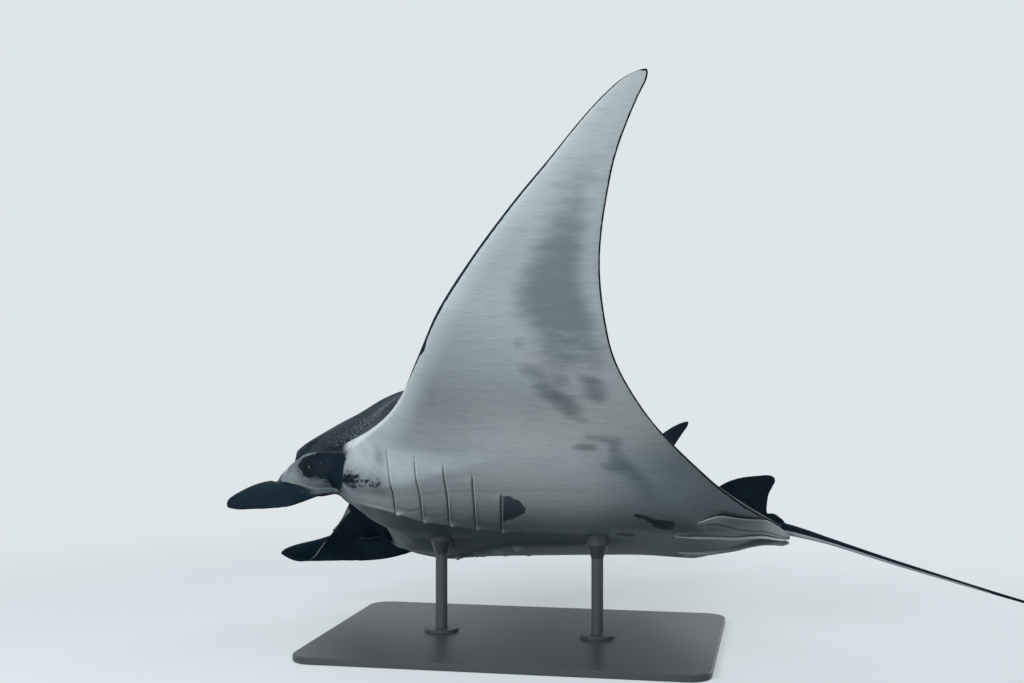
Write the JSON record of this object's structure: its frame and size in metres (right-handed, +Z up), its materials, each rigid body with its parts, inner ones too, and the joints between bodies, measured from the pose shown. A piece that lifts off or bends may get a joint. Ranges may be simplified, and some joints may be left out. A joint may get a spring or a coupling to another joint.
{
  "type": "manta ray model on stand",
  "caption": "Life-size giant manta ray gliding with raised wings, mouth open and head fins lowered, held by rods on a flat base.",
  "frame": {"origin": "middle of the underside of the stand's base plate, on the floor", "axes": "+Z up, the head points toward -Y, the animal's left side is +X"},
  "size_m": [3.4043, 3.8931, 2.2413],
  "materials": {
    "pale_skin": "pale grey-white belly skin, finely rough, satin when wet",
    "dark_skin": "slate-black back and fin skin, finely rough, satin when wet",
    "eye": "dark glossy eyeball",
    "stand_steel": "satin dark grey powder coat on steel"
  },
  "bodies": {
    "root": {"head": "dark_skin", "trunk": "pale_skin", "eye_left": "eye", "eye_right": "eye", "wing_left": "pale_skin", "wing_right": "pale_skin", "cephalic_fin_left": "dark_skin", "cephalic_fin_right": "dark_skin", "pelvic_fin_left": "pale_skin", "pelvic_fin_right": "pale_skin", "dorsal_fin": "dark_skin", "tail_spine_knob": "dark_skin", "tail_1": "dark_skin", "tail_2": "dark_skin", "tail_3": "dark_skin", "stand_base": "stand_steel", "stand_rod_front": "stand_steel", "stand_rod_rear": "stand_steel"}
  },
  "joints": []
}
